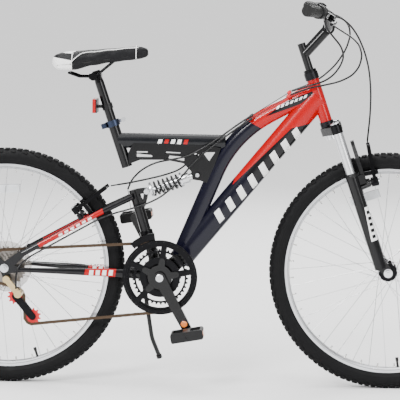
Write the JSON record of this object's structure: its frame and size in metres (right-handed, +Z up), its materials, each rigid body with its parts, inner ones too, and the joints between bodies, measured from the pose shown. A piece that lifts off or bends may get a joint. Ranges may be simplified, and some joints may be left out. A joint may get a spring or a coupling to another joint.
{
  "type": "full-suspension mountain bicycle",
  "caption": "Full-suspension mountain bicycle with telescopic fork, coil rear shock, rim brakes, triple chainrings and rear derailleur.",
  "frame": {"origin": "on the ground, midway between the two wheels' contact points", "axes": "+X forward, +Y to the rider's left, +Z up"},
  "size_m": [1.724, 0.63, 1.0712],
  "materials": {
    "frame_paint": "gloss",
    "frame_red": "gloss",
    "black_metal": "satin",
    "chrome": "polished",
    "rim_metal": "satin",
    "tyre_rubber": "matte",
    "grip_rubber": "matte",
    "black_plastic": "satin",
    "saddle_cover": "satin",
    "chain_steel": "satin",
    "cog_steel": "satin",
    "red_plastic": "gloss",
    "spring_steel": "gloss",
    "cable_housing": "gloss",
    "reflector_red": "gloss"
  },
  "bodies": {
    "frame": {"head_tube": "frame_red", "down_tube": "frame_paint", "upper_tube": "frame_paint", "seat_mast": "frame_paint", "rear_top_tube": "frame_paint", "gusset_plates": "frame_paint", "frame_fittings": "black_metal", "frame_cables": "cable_housing"},
    "seat": {"seat_post": "black_metal", "saddle_rails": "black_metal", "saddle_pad": "saddle_cover", "saddle_shell": "black_plastic", "rear_reflector": "reflector_red"},
    "seat_lever": {"seat_clamp_lever": "chrome"},
    "swingarm": {"upright_tube": "black_metal", "swingarm_fasteners": "black_metal", "chain_stays": "frame_paint", "seat_stays": "frame_paint", "chain": "chain_steel", "rear_derailleur": "black_metal", "front_derailleur": "black_metal", "rear_control_cables": "cable_housing"},
    "damper": {"shock_body": "rim_metal"},
    "damper_rod": {"shock_shaft": "rim_metal", "shock_spring": "spring_steel"},
    "cranks": {"chainrings": "black_plastic", "right_crank": "black_metal", "left_crank": "black_metal"},
    "right_pedal": {"right_pedal": "black_plastic"},
    "left_pedal": {"left_pedal": "black_plastic"},
    "freewheel": {"freewheel": "cog_steel"},
    "rear_wheel": {"rear_tyre": "tyre_rubber", "rear_rim": "rim_metal", "rear_spokes": "chrome", "rear_hub": "black_metal"},
    "cage": {"derailleur_cage": "rim_metal"},
    "guide_pulley": {"guide_pulley": "red_plastic"},
    "tension_pulley": {"tension_pulley": "red_plastic"},
    "kickstand": {"kickstand_leg": "black_metal"},
    "steering": {"fork_crown": "black_metal", "stem": "black_metal", "handlebar": "black_metal", "handlebar_grips": "grip_rubber", "lever_mounts": "black_metal", "front_brake_cable": "cable_housing", "front_control_cables": "cable_housing"},
    "right_shifter": {"right_twist_shifter": "black_plastic"},
    "left_shifter": {"left_twist_shifter": "black_plastic"},
    "right_lever": {"right_brake_lever": "black_metal"},
    "left_lever": {"left_brake_lever": "black_metal"},
    "fork_sliders": {"fork_lowers": "frame_paint", "front_axle": "chrome"},
    "front_wheel": {"front_tyre": "tyre_rubber", "front_rim": "rim_metal", "front_spokes": "chrome", "front_hub": "black_metal"},
    "front_arm_right": {"front_brake_arm_right": "black_metal"},
    "front_arm_left": {"front_brake_arm_left": "black_metal"},
    "rear_arm_right": {"rear_brake_arm_right": "black_metal"},
    "rear_arm_left": {"rear_brake_arm_left": "black_metal"}
  },
  "joints": [
    {"name": "seat_height", "type": "slide", "parent": "frame", "child": "seat", "axis": [-0.3165, 0, 0.9486], "range_m": [-0.02, 0.06]},
    {"name": "seat_lever_turn", "type": "hinge", "parent": "frame", "child": "seat_lever", "pos_m": [-0.26135, 0.026, 0.72395], "axis": [-0.3165, 0, 0.9486], "range_deg": [0, 165]},
    {"name": "swingarm_pivot", "type": "hinge", "parent": "frame", "child": "swingarm", "pos_m": [-0.048, 0, 0.352], "axis": [0, 1, 0], "range_deg": [0, 8.5], "stiffness_Nm_per_rad": 900, "springref_deg": -14.32, "deforming": ["rear_control_cables"]},
    {"name": "shock_turn", "type": "hinge", "parent": "frame", "child": "damper", "pos_m": [0.0005, 0, 0.592], "axis": [0, 1, 0], "range_deg": [-1, 1]},
    {"name": "shock_stroke", "type": "slide", "parent": "damper", "child": "damper_rod", "axis": [0.946, 0, 0.3242], "range_m": [0, 0.0325], "deforming": ["shock_spring"]},
    {"name": "crank_turn", "type": "hinge", "parent": "swingarm", "child": "cranks", "pos_m": [-0.099, 0, 0.31], "axis": [0, 1, 0], "continuous": true, "deforming": ["chain"]},
    {"name": "right_pedal_turn", "type": "hinge", "parent": "cranks", "child": "right_pedal", "pos_m": [-0.01788, 0, 0.1606], "axis": [0, 1, 0], "continuous": true},
    {"name": "left_pedal_turn", "type": "hinge", "parent": "cranks", "child": "left_pedal", "pos_m": [-0.18012, 0, 0.4594], "axis": [0, 1, 0], "continuous": true},
    {"name": "freewheel_turn", "type": "hinge", "parent": "swingarm", "child": "freewheel", "pos_m": [-0.532, 0, 0.33], "axis": [0, 1, 0], "continuous": true, "deforming": ["chain"]},
    {"name": "rear_wheel_turn", "type": "hinge", "parent": "swingarm", "child": "rear_wheel", "pos_m": [-0.532, 0, 0.33], "axis": [0, 1, 0], "continuous": true},
    {"name": "cage_swing", "type": "hinge", "parent": "swingarm", "child": "cage", "pos_m": [-0.4915, 0, 0.2607], "axis": [0, 1, 0], "range_deg": [-12, 12], "deforming": ["chain"]},
    {"name": "guide_pulley_turn", "type": "hinge", "parent": "cage", "child": "guide_pulley", "pos_m": [-0.503, 0, 0.248], "axis": [0, 1, 0], "continuous": true, "deforming": ["chain"]},
    {"name": "tension_pulley_turn", "type": "hinge", "parent": "cage", "child": "tension_pulley", "pos_m": [-0.4564, 0, 0.1921], "axis": [0, 1, 0], "continuous": true, "deforming": ["chain"]},
    {"name": "kickstand_fold", "type": "hinge", "parent": "swingarm", "child": "kickstand", "pos_m": [-0.154, 0, 0.292], "axis": [0, 1, 0], "range_deg": [0, 95]},
    {"name": "steering_turn", "type": "hinge", "parent": "frame", "child": "steering", "pos_m": [0.35492, 0, 0.74521], "axis": [-0.319, 0, 0.9478], "range_deg": [-60, 60], "deforming": ["front_control_cables"]},
    {"name": "right_shifter_twist", "type": "hinge", "parent": "steering", "child": "right_shifter", "pos_m": [0.30094, -0.308, 1.05562], "axis": [-0.2586, -0.9651, 0.0422], "range_deg": [-30, 30]},
    {"name": "left_shifter_twist", "type": "hinge", "parent": "steering", "child": "left_shifter", "pos_m": [0.30094, 0.308, 1.05562], "axis": [-0.2586, 0.9651, 0.0422], "range_deg": [-30, 30]},
    {"name": "right_lever_pull", "type": "hinge", "parent": "steering", "child": "right_lever", "pos_m": [0.36412, -0.17149, 1.03388], "axis": [-0.5076, 0.0986, -0.8559], "range_deg": [0, 20], "stiffness_Nm_per_rad": 0.6, "springref_deg": -20.05, "deforming": ["front_brake_cable"]},
    {"name": "left_lever_pull", "type": "hinge", "parent": "steering", "child": "left_lever", "pos_m": [0.36412, 0.17149, 1.03388], "axis": [0.5076, 0.0986, 0.8559], "range_deg": [0, 20], "stiffness_Nm_per_rad": 0.6, "springref_deg": -20.05, "deforming": ["front_control_cables"]},
    {"name": "fork_travel", "type": "slide", "parent": "steering", "child": "fork_sliders", "axis": [-0.319, 0, 0.9478], "range_m": [0, 0.063], "stiffness_N_per_m": 6000, "springref_m": -0.03, "deforming": ["front_brake_cable"]},
    {"name": "front_wheel_turn", "type": "hinge", "parent": "fork_sliders", "child": "front_wheel", "pos_m": [0.532, 0, 0.33], "axis": [0, 1, 0], "continuous": true},
    {"name": "front_arm_right_swing", "type": "hinge", "parent": "fork_sliders", "child": "front_arm_right", "pos_m": [0.48036, -0.04, 0.57716], "axis": [0.9789, 0, 0.2045], "range_deg": [-2.4, 0], "deforming": ["front_brake_cable"]},
    {"name": "front_arm_left_swing", "type": "hinge", "parent": "fork_sliders", "child": "front_arm_left", "pos_m": [0.48036, 0.04, 0.57716], "axis": [0.9789, 0, 0.2045], "range_deg": [0, 2.4], "deforming": ["front_brake_cable"]},
    {"name": "rear_arm_right_swing", "type": "hinge", "parent": "swingarm", "child": "rear_arm_right", "pos_m": [-0.32982, -0.04, 0.48125], "axis": [0.599, 0, -0.8007], "range_deg": [-2.4, 0], "deforming": ["rear_control_cables"]},
    {"name": "rear_arm_left_swing", "type": "hinge", "parent": "swingarm", "child": "rear_arm_left", "pos_m": [-0.32982, 0.04, 0.48125], "axis": [0.599, 0, -0.8007], "range_deg": [0, 2.4], "deforming": ["rear_control_cables"]}
  ],
  "couplings": [
    {"joint": "shock_turn", "follows": "swingarm_pivot", "ratio": 0.104},
    {"joint": "shock_stroke", "follows": "swingarm_pivot", "m_per_rad": 0.2122},
    {"joint": "freewheel_turn", "follows": "crank_turn", "ratio": 2},
    {"joint": "guide_pulley_turn", "follows": "crank_turn", "ratio": -4.3636},
    {"joint": "tension_pulley_turn", "follows": "crank_turn", "ratio": 4.3636},
    {"joint": "front_arm_right_swing", "follows": "right_lever_pull", "ratio": -0.12},
    {"joint": "front_arm_left_swing", "follows": "right_lever_pull", "ratio": 0.12},
    {"joint": "rear_arm_right_swing", "follows": "left_lever_pull", "ratio": -0.12},
    {"joint": "rear_arm_left_swing", "follows": "left_lever_pull", "ratio": 0.12}
  ]
}
